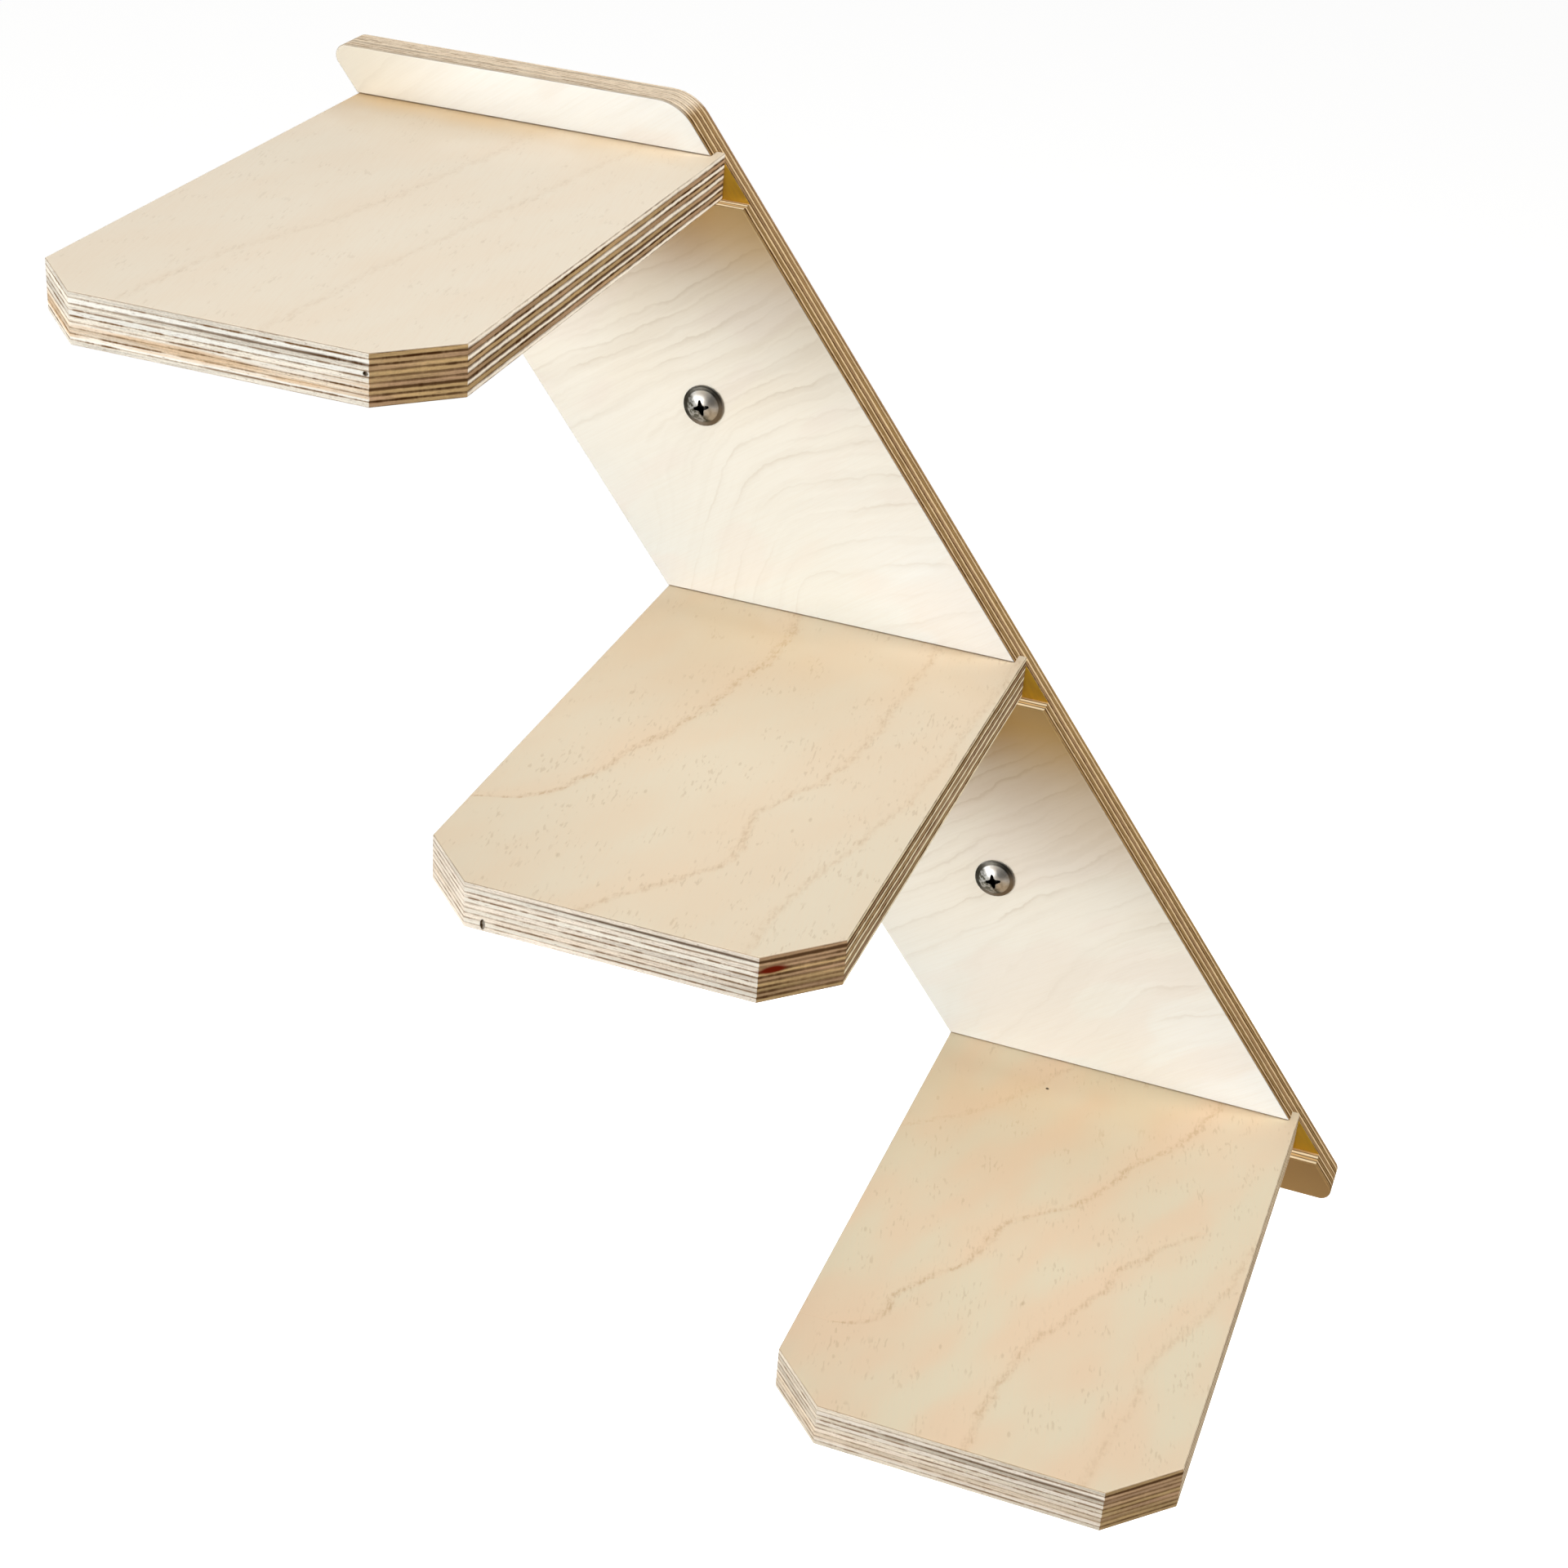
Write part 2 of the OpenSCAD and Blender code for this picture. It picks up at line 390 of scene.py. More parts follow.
def threaded(bm, spec):
    """A helical thread that rises slowly at spec's start and narrows to its point."""
    start, end = spec["thread_from"], -spec["length"]
    turns = ceil((start - end) / spec["pitch"]) + 1
    height = spec["outer_r"] - spec["core_r"]
    rows = []
    for turn in range(turns):
        for along, rise in THREAD_SHAPE:
            row = []
            for i in range(SCREW_SEGMENTS + 1):
                wanted = start + spec["pitch"] * (0.5 - turn - along - i / SCREW_SEGMENTS)
                z = min(start, max(end, wanted))
                taper = min(1.0, (z - end) / spec["tip"])
                run_out = min(1.0, (start - z) / spec["pitch"])
                radius = spec["core_r"] * taper + height * rise * run_out * min(1.0, taper * CREST_TAPER)
                angle = 2 * pi * i / SCREW_SEGMENTS
                row.append(bm.verts.new((radius * cos(angle), radius * sin(angle), z)))
            rows.append(row)
    for low, high in zip(rows, rows[1:]):
        for i in range(SCREW_SEGMENTS):
            bm.faces.new((low[i], low[i + 1], high[i + 1], high[i]))


def head_rows(bm, profile):
    """A screw's smooth part from (radius, z) pairs, closed at its top."""
    rows = [ring(bm, circle(radius, SCREW_SEGMENTS), z) for radius, z in profile]
    bridge(bm, rows)
    bm.faces.new(rows[-1])


def dome_profile():
    """Rows of the low dome, from just inside its foot to a small flat at its top."""
    centre = DOME_TOP - DOME_BALL_R
    foot = atan2(DOME_R, DOME_BASE - centre)
    angles = [foot * (1 - k / DOME_ROWS) for k in range(1, DOME_ROWS)]
    return [(DOME_BALL_R * sin(a), centre + DOME_BALL_R * cos(a)) for a in angles]


def wafer_screw(bm):
    """A wall screw: thread, plain neck, and a flat flange under a low dome."""
    threaded(bm, WALL_SCREW)
    start = WALL_SCREW["thread_from"]
    neck = [(WALL_SCREW["core_r"], start), (NECK_R, start + NECK_RISE), (NECK_R, NECK_TOP)]
    head_rows(bm, neck + WAFER_PROFILE + dome_profile())


def sunk_screw(bm):
    """A step screw: thread, and a countersunk head that is flat on top."""
    threaded(bm, STEP_SCREW)
    head_rows(bm, [
        (STEP_SCREW["core_r"], STEP_SCREW["thread_from"]), SUNK_FOOT, (SUNK_R, -SUNK_EDGE),
        (SUNK_R, -SUNK_EASE), (SUNK_R - SUNK_EASE, 0.0),
    ])


def cross(half_span, half_w):
    """A cross with rounded inner corners, as 24 points."""
    fillet = half_w * 0.7
    end = half_w * 0.55
    bulge = half_span + 0.08
    bend = half_w + fillet * 0.3
    quarter = [
        (half_span, -end), (bulge, 0), (half_span, end),
        (half_w + fillet, half_w), (bend, bend), (half_w, half_w + fillet),
    ]
    points = []
    for k in range(4):
        c, s = round(cos(k * pi / 2)), round(sin(k * pi / 2))
        points += [(x * c - y * s, x * s + y * c) for x, y in quarter]
    return points


def recess_cutter(top, matrix):
    """The driver recess: a cross that narrows downwards to a small point."""
    def build(bm):
        rows = []
        for z, share in RECESS_ROWS:
            span = RECESS_FLOOR_HALF_SPAN + (RECESS_HALF_SPAN - RECESS_FLOOR_HALF_SPAN) * share
            width = RECESS_FLOOR_HALF_W + (RECESS_HALF_W - RECESS_FLOOR_HALF_W) * share
            rows.append(ring(bm, cross(span, width), top + z))
        rows.append(ring(bm, circle(RECESS_POINT_R, len(rows[0])), top - RECESS_POINT_DEPTH))
        solid(bm, rows)

    return new_object("cutter", build, matrix)


def make_screw(node):
    """One screw on its CAD node's axis, its recess towards the side that it is driven from."""
    x, z = centre_xz(node)
    if node in WALL_SCREWS:
        build = wafer_screw
        bearing_y = -PLATE_T
        turn = Matrix.Rotation(pi / 2, 4, "X") @ Matrix.Rotation(RECESS_TURN, 4, "Z")
        mouth = DOME_TOP - RECESS_SINK
    else:
        build = sunk_screw
        bearing_y = box_mm(node)[1].y
        turn = Matrix.Rotation(-pi / 2, 4, "X")
        mouth = 0.0
    matrix = Matrix.Translation(Vector((x, bearing_y, z)) * MM) @ turn
    screw = new_object(node + "_steel", build, matrix, SCREW_SHARP)
    carve(screw, [recess_cutter(mouth, matrix)], SCREW_SHARP)
    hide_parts(node)
    return screw


class Graph:
    """Short calls for one material's nodes. place, x, y and z are in mm in the object's own frame."""

    def __init__(self, name):
        self.material = bpy.data.materials.new(name)
        self.material.use_nodes = True
        self.tree = self.material.node_tree
        self.shader = self.tree.nodes["Principled BSDF"]
        places = self.node("TexCoord")
        self.normal = places.outputs["Normal"]
        self.place = self.scaled(places.outputs["Object"], 1 / MM)
        self.x, self.y, self.z = self.split(self.place)

    def put(self, socket, value):
        """Links a node's output to the socket, or sets a number, a vector or an opaque colour on it."""
        if isinstance(value, bpy.types.NodeSocket):
            self.tree.links.new(value, socket)
        else:
            socket.default_value = (*value, 1) if socket.type == "RGBA" else value

    def fill(self, node, **values):
        """Puts values in the node's sockets of these names."""
        for name, value in values.items():
            self.put(node.inputs[name.replace("_", " ")], value)

    def node(self, kind, values=(), **settings):
        """A node with these settings, and these values in its first sockets."""
        node = self.tree.nodes.new("ShaderNode" + kind)
        for setting, value in settings.items():
            setattr(node, setting, value)
        for socket, value in zip(node.inputs, values):
            self.put(socket, value)
        return node

    def math(self, operation, *values):
        return self.node("Math", values, operation=operation).outputs[0]

    # over and under are 1 where the first value is larger or smaller than the second, and 0 elsewhere
    add = partialmethod(math, "ADD")
    minus = partialmethod(math, "SUBTRACT")
    times = partialmethod(math, "MULTIPLY")
    largest = partialmethod(math, "MAXIMUM")
    size = partialmethod(math, "ABSOLUTE")
    over = partialmethod(math, "GREATER_THAN")
    under = partialmethod(math, "LESS_THAN")

    def vector(self, operation, *values):
        node = self.node("VectorMath", values, operation=operation)
        return node.outputs["Value" if operation == "LENGTH" else "Vector"]

    def scaled(self, vector, factor):
        node = self.node("VectorMath", [vector], operation="SCALE")
        self.fill(node, Scale=factor)
        return node.outputs["Vector"]

    def split(self, vector):
        return self.node("SeparateXYZ", [vector]).outputs

    def join(self, x, y, z):
        return self.node("CombineXYZ", (x, y, z)).outputs[0]

    def noise(self, place, detail=2.0, rough=0.5):
        node = self.node("TexNoise")
        self.fill(node, Vector=place, Scale=1.0, Detail=detail, Roughness=rough)
        return node.outputs[0]

    def ease(self, value, low, high, to_low=0.0, to_high=1.0):
        """value eased from low..high to to_low..to_high, and held there outside."""
        values = (value, low, high, to_low, to_high)
        return self.node("MapRange", values, interpolation_type="SMOOTHSTEP").outputs[0]

    def fade(self, value, low, high):
        """1 below low, eased to 0 above high."""
        return self.ease(value, low, high, 1.0, 0.0)

    def mix(self, share, a, b):
        """The colour a with the given share of the colour b."""
        node = self.node("Mix", (share,), data_type="RGBA")
        self.put(node.inputs[6], a)
        self.put(node.inputs[7], b)
        return node.outputs[2]

    def mix_number(self, share, a, b):
        """The number a with the given share of the number b."""
        node = self.node("Mix", (share,), data_type="FLOAT")
        self.put(node.inputs[2], a)
        self.put(node.inputs[3], b)
        return node.outputs[0]

    def curve(self, value, low, high, points):
        """value looked up on a smooth curve through (value, result) points, all between low and high."""
        span = high - low
        node = self.node("FloatCurve")
        line = node.mapping.curves[0]
        while len(line.points) < len(points):
            line.points.new(0.5, 0.5)
        for spot, (x, y) in zip(line.points, points):
            spot.location = ((x - low) / span, (y - low) / span)
        node.mapping.update()
        self.fill(node, Factor=1.0, Value=self.times(self.add(value, -low), 1 / span))
        return self.add(self.times(node.outputs[0], span), low)

    def bump(self, height, distance, strength):
        node = self.node("Bump")
        self.fill(node, Height=height, Distance=distance, Strength=strength)
        self.fill(self.shader, Normal=node.outputs[0])

    def finish(self, colour, roughness):
        self.fill(self.shader, Base_Color=colour, Roughness=roughness)
        return self.material


# How the edges differ. End grain is brown or rosy, and shows where an edge cuts the grain squarely enough.
# Edges that face the given side, above the given height, are painted pale as painted light for the strong
# light on them. low_level and outer_level are how light the plate's lower end and the pale edge's outermost
# ply are.
STEP_EDGE = {
    "end": (0.63, 0.425, 0.20), "rosy": (0.60, 0.38, 0.22),
    "end_range": (0.06, 0.28), "lit_pale_side": (-0.35, -0.94), "lit_pale_from": -1000.0,
    "low_level": 1.0, "outer_level": 1.0,
}
PLATE_EDGE = {
    "end": (0.36, 0.215, 0.075), "rosy": (0.36, 0.21, 0.10),
    "end_range": (0.36, 0.62), "lit_pale_side": (0.0, 1.0), "lit_pale_from": PLATE_HIGH.z - 8.0,
    "low_level": 0.90, "outer_level": 0.72,
}
# Each board's open edges, and its edge painted pale as painted light: the heavy glue line, the lines' width
# in plies and strength, how light all and square end grain is, how tan low plies are, and the colours of long
# and of end grain
EDGE_MARKS = {
    "upper_step": {
        "heavy": 3, "width": 0.30, "lines": 1.0, "open_level": 0.98, "square_end": 0.80,
        "long": (1.0, 0.90, 0.75), "lit_pale_heavy": 7, "lit_pale_width": 0.21, "lit_pale_lines": 1.0,
        "tan": 0.85, "lit_pale_long": (1.0, 0.985, 0.91), "lit_pale_end": (0.93, 0.87, 0.755),
    },
    "middle_step": {
        "heavy": 8, "width": 0.38, "lines": 1.0, "open_level": 0.94, "square_end": 0.60,
        "long": (1.0, 0.87, 0.60), "lit_pale_heavy": 8, "lit_pale_width": 0.23, "lit_pale_lines": 0.8,
        "tan": 0.2, "lit_pale_long": (0.92, 0.87, 0.765), "lit_pale_end": (0.86, 0.78, 0.67),
    },
    "lower_step": {
        "heavy": 8, "width": 0.31, "lines": 0.75, "open_level": 0.93, "square_end": 0.60,
        "long": (1.0, 0.85, 0.62), "lit_pale_heavy": 7, "lit_pale_width": 0.23, "lit_pale_lines": 0.75,
        "tan": 0.25, "lit_pale_long": (0.92, 0.84, 0.73), "lit_pale_end": (0.75, 0.67, 0.55),
    },
    "back_plate": {
        "heavy": 8, "width": 0.33, "lines": 1.0, "open_level": 0.82, "square_end": 1.0,
        "long": (0.88, 0.64, 0.355), "lit_pale_heavy": -1, "lit_pale_width": 0.23, "lit_pale_lines": 0.8,
        "tan": 0.0, "lit_pale_long": (0.835, 0.70, 0.525), "lit_pale_end": (0.785, 0.65, 0.49),
    },
}
GLUE = (0.060, 0.022, 0.004)
LIT_PALE_GLUE = (0.23, 0.12, 0.045)
BURNT = (0.44, 0.27, 0.125)
LIT_PALE_TAN = (0.76, 0.54, 0.33)

# Linear colours of the steps' faces and stain, of the painted shade by the plate, and of the voids' painted
# shade
STEP_FACE = {
    "upper_step": ((0.89, 0.80, 0.655), (0.89, 0.775, 0.62)),
    "middle_step": ((0.762, 0.677, 0.524), (0.772, 0.645, 0.48)),
    "lower_step": ((0.715, 0.645, 0.478), (0.762, 0.585, 0.41)),
}
VEIN = (0.50, 0.33, 0.18)
VEIN_BLUSH = (0.82, 0.60, 0.41)
FLECK = (0.42, 0.29, 0.16)
JOINT_SHADE_TONE = (0.60, 0.40, 0.18)
REAR_SHADE_TONE = (0.42, 0.30, 0.17)
STAIN = (0.15, 0.010, 0.001)
PIT_SHADE = (0.02, 0.012, 0.008)

# Linear colours of the plate's faces, of the painted light low on its panels, of the painted shade under its
# steps, and of its grooves
PLATE_FACE = ((0.925, 0.90, 0.815), (0.905, 0.86, 0.755))
PLATE_PAINTED_LIGHT = (0.85, 0.87, 0.83)
PLATE_PAINTED_LIGHT_OUTER = (0.92, 0.965, 0.98)
PLATE_PINK = (0.885, 0.82, 0.75)
PLATE_CREAM = (0.815, 0.75, 0.62)
PLATE_WHITE = (0.925, 0.945, 0.93)
PLATE_RING = (0.56, 0.48, 0.37)
PLATE_STREAK = (0.76, 0.66, 0.52)
UNDER_STEP_SHADE = (0.54, 0.32, 0.10)
UNDER_STEP_SHADE_OUTER = (0.83, 0.555, 0.235)
TAIL_SHADE = (0.77, 0.46, 0.185)
DADO_FLOOR = (1.0, 0.64, 0.075)
DADO_FLOOR_DULL = (0.90, 0.56, 0.075)
DADO_WALL_LONG = (0.88, 0.72, 0.47)
DADO_WALL_END = (0.66, 0.43, 0.19)

# Linear colours of the screws, with their painted highlight and painted shade
SCREW_BRIGHT = (0.60, 0.58, 0.54)
SCREW_BRIGHT_SMUDGE = (0.40, 0.37, 0.32)
SCREW_PAINTED_HIGHLIGHT = (0.68, 0.68, 0.66)
SCREW_PAINTED_SHADE = (0.36, 0.29, 0.23)
SCREW_PAINTED_DARK_PATCHES = (0.06, 0.055, 0.035)
SCREW_RIM_SHADE_DARK = (0.025, 0.022, 0.015)
SCREW_RIM_SHADE_BROWN = (0.16, 0.125, 0.09)
SCREW_YELLOW = (0.80, 0.62, 0.26)
SCREW_YELLOW_SMUDGE = (0.62, 0.50, 0.30)
RECESS_PAINTED_SHADE = (0.012, 0.011, 0.010)

# Veins of each step's top veneer: how strong, and (out from the plate, right from the left end) in mm
VEINS = {
    "upper_step": [
        (0.25, [(0, 52), (45, 49), (90, 41), (125, 30), (160, 26)]),
        (0.25, [(0, 80), (60, 72), (100, 66), (160, 60)]),
    ],
    "middle_step": [
        (1.0, [(0, 38), (22, 40), (40, 37), (62, 34), (82, 28), (102, 22), (118, 14), (124, 4)]),
        (0.7, [(0, 77), (37, 77), (80, 73), (102, 64), (127, 65), (138, 57), (160, 42)]),
        (0.5, [(0, 99), (36, 97), (67, 96), (102, 90), (136, 83), (160, 81)]),
    ],
    "lower_step": [
        (1.0, [(0, 79), (23, 72), (38, 63), (57, 55), (77, 38), (96, 32), (112, 21), (126, 17), (131, 0)]),
        (0.8, [(60, 85), (73, 75), (102, 63), (124, 55), (160, 51)]),
        (0.6, [(0, 37), (26, 22), (36, 14), (48, 0)]),
        (0.5, [(60, 100), (87, 94), (111, 85), (127, 84), (160, 79)]),
    ],
}
VEIN_CURVE_RANGE = (-20.0, 180.0)
# Painted shade on each step's top: how much darker it is at its left, browner to the rear and at the plate,
# and darker beside the plate at its left and right; and how strong its flecks are
STEP_PAINTED_SHADE_AND_FLECKS = {
    "upper_step": {"left": 0.03, "rear": 0.06, "joint_shade": 0.50, "shade_beside_plate": (0.42, 0.0), "flecks": 0.5},
    "middle_step": {"left": 0.10, "rear": 0.36, "joint_shade": 0.0, "shade_beside_plate": (0.0, 0.20), "flecks": 1.0},
    "lower_step": {"left": 0.09, "rear": 0.36, "joint_shade": 0.0, "shade_beside_plate": (0.0, 0.12), "flecks": 1.0},
}
# The face grain's direction, from the board's local x, and each board's place in the noise
GRAIN_TURN = {
    "upper_step": radians(101), "middle_step": radians(98), "lower_step": radians(102),
    "back_plate": radians(36),
}
SEEDS = {"upper_step": 3.1, "middle_step": 7.7, "lower_step": 12.4, "back_plate": 21.9}

# Sheen of the boards, and relief of the boards and the screws in m
WOOD_SPECULAR = 0.05
FACE_ROUGH = 0.52
LONG_GRAIN_ROUGH = 0.8
END_GRAIN_ROUGH = 0.95
WOOD_BUMP_M = 0.00008
STEEL_BUMP_M = 0.00003


def turned(g, place, turn):
    """A place's distance along the direction turn, and to the left of it."""
    x, y, _ = g.split(place)
    along = g.add(g.times(x, cos(turn)), g.times(y, sin(turn)))
    aside = g.add(g.times(x, -sin(turn)), g.times(y, cos(turn)))
    return along, aside


def streaks(g, place, turn, length, width, **settings):
    """Noise drawn out along the direction turn, with sizes in mm."""
    along, aside = turned(g, place, turn)
    z = g.split(place)[2]
    stretched = g.join(g.times(along, 1 / length), g.times(aside, 1 / width), g.times(z, 1 / width))
    return g.noise(stretched, **settings)


def moved_to(g, seed):
    """The place in the board's own part of the noise."""
    return g.vector("ADD", g.place, (seed * 31, seed * 17, seed * 5))


def ply_height(g, thickness):
    """The height in a board, counted in plies that waver a little."""
    wobble = g.noise(g.scaled(g.place, 0.035))
    waver = g.noise(g.scaled(g.place, 0.25))
    ply = g.add(g.times(g.z, PLIES / thickness), g.times(g.add(wobble, -0.5), 0.28))
    ply = g.add(ply, g.times(g.add(waver, -0.5), 0.10))
    return g.math("MINIMUM", g.largest(ply, 0.01), PLIES - 0.01)


def ply_slant(g, ply, turn):
    """How squarely an edge cuts a ply's grain: 0 along it, 1 across it. Every second ply is turned."""
    crossband = g.math("MODULO", g.math("FLOOR", ply), 2.0)
    facing = g.math("POWER", g.size(turned(g, g.normal, turn)[0]), 2.0)
    return g.size(g.minus(crossband, facing))


def lit_pale_share(g, marks):
    """1 on the edges painted pale as painted light, where strong light falls, and 0 on the open ones."""
    nx, ny, _ = g.split(g.normal)
    pale_x, pale_y = marks["lit_pale_side"]
    facing = g.add(g.times(nx, pale_x), g.times(ny, pale_y))
    return g.times(g.ease(facing, 0.68, 0.88), g.over(g.y, marks["lit_pale_from"]))


def ply_grain(g, index, seed):
    """How dark a ply's wood is, round 0: fibres, grit and a level for each ply."""
    fibres = g.noise(g.vector("MULTIPLY", g.place, (0.07, 0.07, 2.4)), detail=3.0, rough=0.6)
    grit = g.noise(g.vector("MULTIPLY", g.place, (1.4, 1.4, 3.0)))
    ply_tone = g.noise(g.join(g.times(index, 3.7), seed, g.times(g.add(g.x, g.y), 0.012)), detail=1.0)
    grain = g.add(g.times(g.add(fibres, -0.5), 0.9), g.times(g.add(grit, -0.5), 0.45))
    return g.add(grain, g.times(g.add(ply_tone, -0.5), 1.1))


def ply_colour(g, ply, slant, end, lit_pale, seed, marks):
    """The plies without their glue lines: long grain pale, end grain brown."""
    index = g.math("FLOOR", ply)
    hue = g.noise(g.join(g.times(index, 2.9), seed + 4.0, g.times(g.add(g.x, g.y), 0.02)), detail=1.0)
    brown = g.mix(g.ease(hue, 0.46, 0.62), marks["end"], marks["rosy"])
    brown = g.scaled(brown, g.ease(slant, 0.55, 0.95, 1.0, marks["square_end"]))
    tan_patch = g.noise(g.join(g.times(g.x, 0.035), seed, g.times(g.z, 0.5)))
    tan_low = g.times(g.ease(g.z, 1.6, 2.2), g.ease(g.z, 4.4, 6.0, marks["tan"], 0.0))
    tan_low = g.times(tan_low, g.ease(tan_patch, 0.35, 0.6, 0.3, 1.0))
    # Pale copies of long and end grain on the edges that face the light: painted light
    pale_long = g.mix(tan_low, marks["lit_pale_long"], LIT_PALE_TAN)
    pale_end = g.mix(tan_low, marks["lit_pale_end"], LIT_PALE_TAN)
    colour = g.mix(end, g.mix(lit_pale, marks["long"], pale_long), g.mix(lit_pale, brown, pale_end))
    outer = g.times(lit_pale, g.over(ply, PLIES - 1.0))
    level = g.mix_number(lit_pale, marks["open_level"], 1.0)
    level = g.times(level, g.ease(g.y, PLATE_LOW.z, 60.0, marks["low_level"], 1.0))
    level = g.times(level, g.ease(outer, 0.0, 1.0, 1.0, marks["outer_level"]))
    grain = g.times(ply_grain(g, index, seed), g.mix_number(end, 0.4, 1.0))
    return g.scaled(colour, g.times(level, g.minus(1.0, grain)))


def glue_gap(g, ply):
    """How far the nearest glue line is, in plies."""
    within = g.math("FRACT", ply)
    return g.math("MINIMUM", within, g.minus(1.0, within))


def with_glue(g, colour, ply, lit_pale, seed, marks):
    """The colour with the glue lines on it. They are broken and uneven, and each has a burnt rim."""
    line = g.math("ROUND", ply)
    line_tone = g.noise(g.join(g.times(line, 5.3), seed, g.times(g.add(g.x, g.y), 0.02)), detail=1.0)
    spot = g.join(g.times(g.x, 0.16), g.times(g.y, 0.16), g.times(line, 5.3))
    patchy = g.noise(spot, detail=4.0, rough=0.7)
    open_heavy = g.math("COMPARE", line, marks["heavy"], 0.1)
    lit_pale_heavy = g.math("COMPARE", line, marks["lit_pale_heavy"], 0.1)
    lit_pale_heavy = g.times(lit_pale_heavy, g.ease(g.x, 10.0, 55.0, 0.1, 0.9))
    heavy = g.mix_number(lit_pale, open_heavy, lit_pale_heavy)
    width = g.mix_number(lit_pale, marks["width"], marks["lit_pale_width"])
    width = g.times(g.add(width, g.times(heavy, 0.13)), g.ease(patchy, 0.3, 0.7, 0.8, 1.2))
    strength = g.mix_number(lit_pale, marks["lines"], marks["lit_pale_lines"])
    shown = g.times(g.ease(line_tone, 0.35, 0.6, 0.55, 1.0), strength)
    broken = g.ease(patchy, 0.40, 0.6, g.mix_number(lit_pale, 0.75, 0.15), 1.0)
    shown = g.largest(g.times(shown, broken), g.times(heavy, 0.9))
    dashes = g.noise(g.vector("MULTIPLY", g.place, (0.5, 0.5, 5.5)), detail=3.0, rough=0.7)
    dashes = g.times(g.ease(dashes, 0.56, 0.68), g.mix_number(lit_pale, 0.35, 0.65))
    gap = glue_gap(g, ply)
    burnt = g.times(g.fade(gap, g.times(width, 0.6), g.times(width, 1.45)), shown)
    colour = g.mix(g.times(burnt, g.mix_number(lit_pale, 0.55, 0.25)), colour, BURNT)
    glue = g.times(g.fade(gap, g.times(width, 0.3), width), shown)
    # Lighter glue lines on the pale edges: painted light
    dark = g.mix(g.times(lit_pale, g.minus(1.0, heavy)), GLUE, LIT_PALE_GLUE)
    return g.mix(g.largest(glue, dashes), colour, dark)


def vein_share(g, path, jag):
    """How dark one vein is, and the blush on its left."""
    out = g.times(g.y, -1.0)
    away = g.add(g.minus(g.x, g.curve(out, *VEIN_CURVE_RANGE, path)), jag)
    line = g.fade(g.size(away), 0.0, 1.9)
    blush = g.times(g.ease(away, -12.0, -0.2), g.fade(away, -0.1, 1.6))
    start, end = path[0][0], path[-1][0]
    inside = g.times(g.over(out, start - 2.0), g.under(out, end + 2.0))
    return g.times(line, inside), g.times(blush, inside)


def with_veins(g, colour, moved, turn, veins):
    """The colour with its wandering veins, how deep they lie, and how near one is."""
    wander = g.noise(g.scaled(moved, 0.09), detail=4.0, rough=0.75)
    jag = g.times(g.add(wander, -0.5), 7.0)
    broken = g.ease(g.noise(g.scaled(moved, 0.4), detail=3.0, rough=0.7), 0.36, 0.62, 0.2, 1.0)
    stroke = g.ease(streaks(g, moved, turn, 2.6, 0.7, detail=1.0), 0.42, 0.58, 0.35, 1.0)
    ink = g.times(broken, stroke)
    depth = 0.0
    near_vein = 0.0
    for strength, path in veins:
        line, blush = vein_share(g, path, jag)
        colour = g.mix(g.times(blush, 0.22 * strength), colour, VEIN_BLUSH)
        colour = g.mix(g.times(g.times(line, ink), 0.6 * strength), colour, VEIN)
        depth = g.add(depth, g.times(line, 0.3 * strength))
        near_vein = g.largest(near_vein, g.times(blush, strength))
    return colour, depth, near_vein


def scattered(g, place, turn, seed, size, chance):
    """Short dashes along the grain, one to a cell and only in the given share of the cells."""
    along, aside = turned(g, place, turn)
    node = g.node("TexVoronoi")
    g.fill(node, Vector=g.join(g.times(along, 1 / (size * 2.4)), g.times(aside, 1 / size), seed), Scale=1.0)
    picked = g.under(g.split(node.outputs["Color"])[0], chance)
    return g.times(g.fade(node.outputs["Distance"], 0.08, 0.20), picked)


def with_flecks(g, colour, moved, turn, seed, near_vein, share):
    """The colour with clusters of ticks and single specks, and how deep these lie."""
    cluster = g.ease(g.noise(g.scaled(moved, 0.11), detail=1.0), 0.48, 0.64)
    cluster = g.largest(cluster, g.times(near_vein, 0.5))
    ticks = g.times(g.ease(streaks(g, moved, turn, 3.0, 0.75, detail=1.0), 0.59, 0.70), cluster)
    specks = scattered(g, moved, turn, seed, 2.8, 0.10)
    colour = g.mix(g.times(ticks, 0.25 * share), colour, FLECK)
    colour = g.mix(g.times(specks, 0.28 * share), colour, FLECK)
    return colour, g.times(g.add(specks, ticks), 0.25)


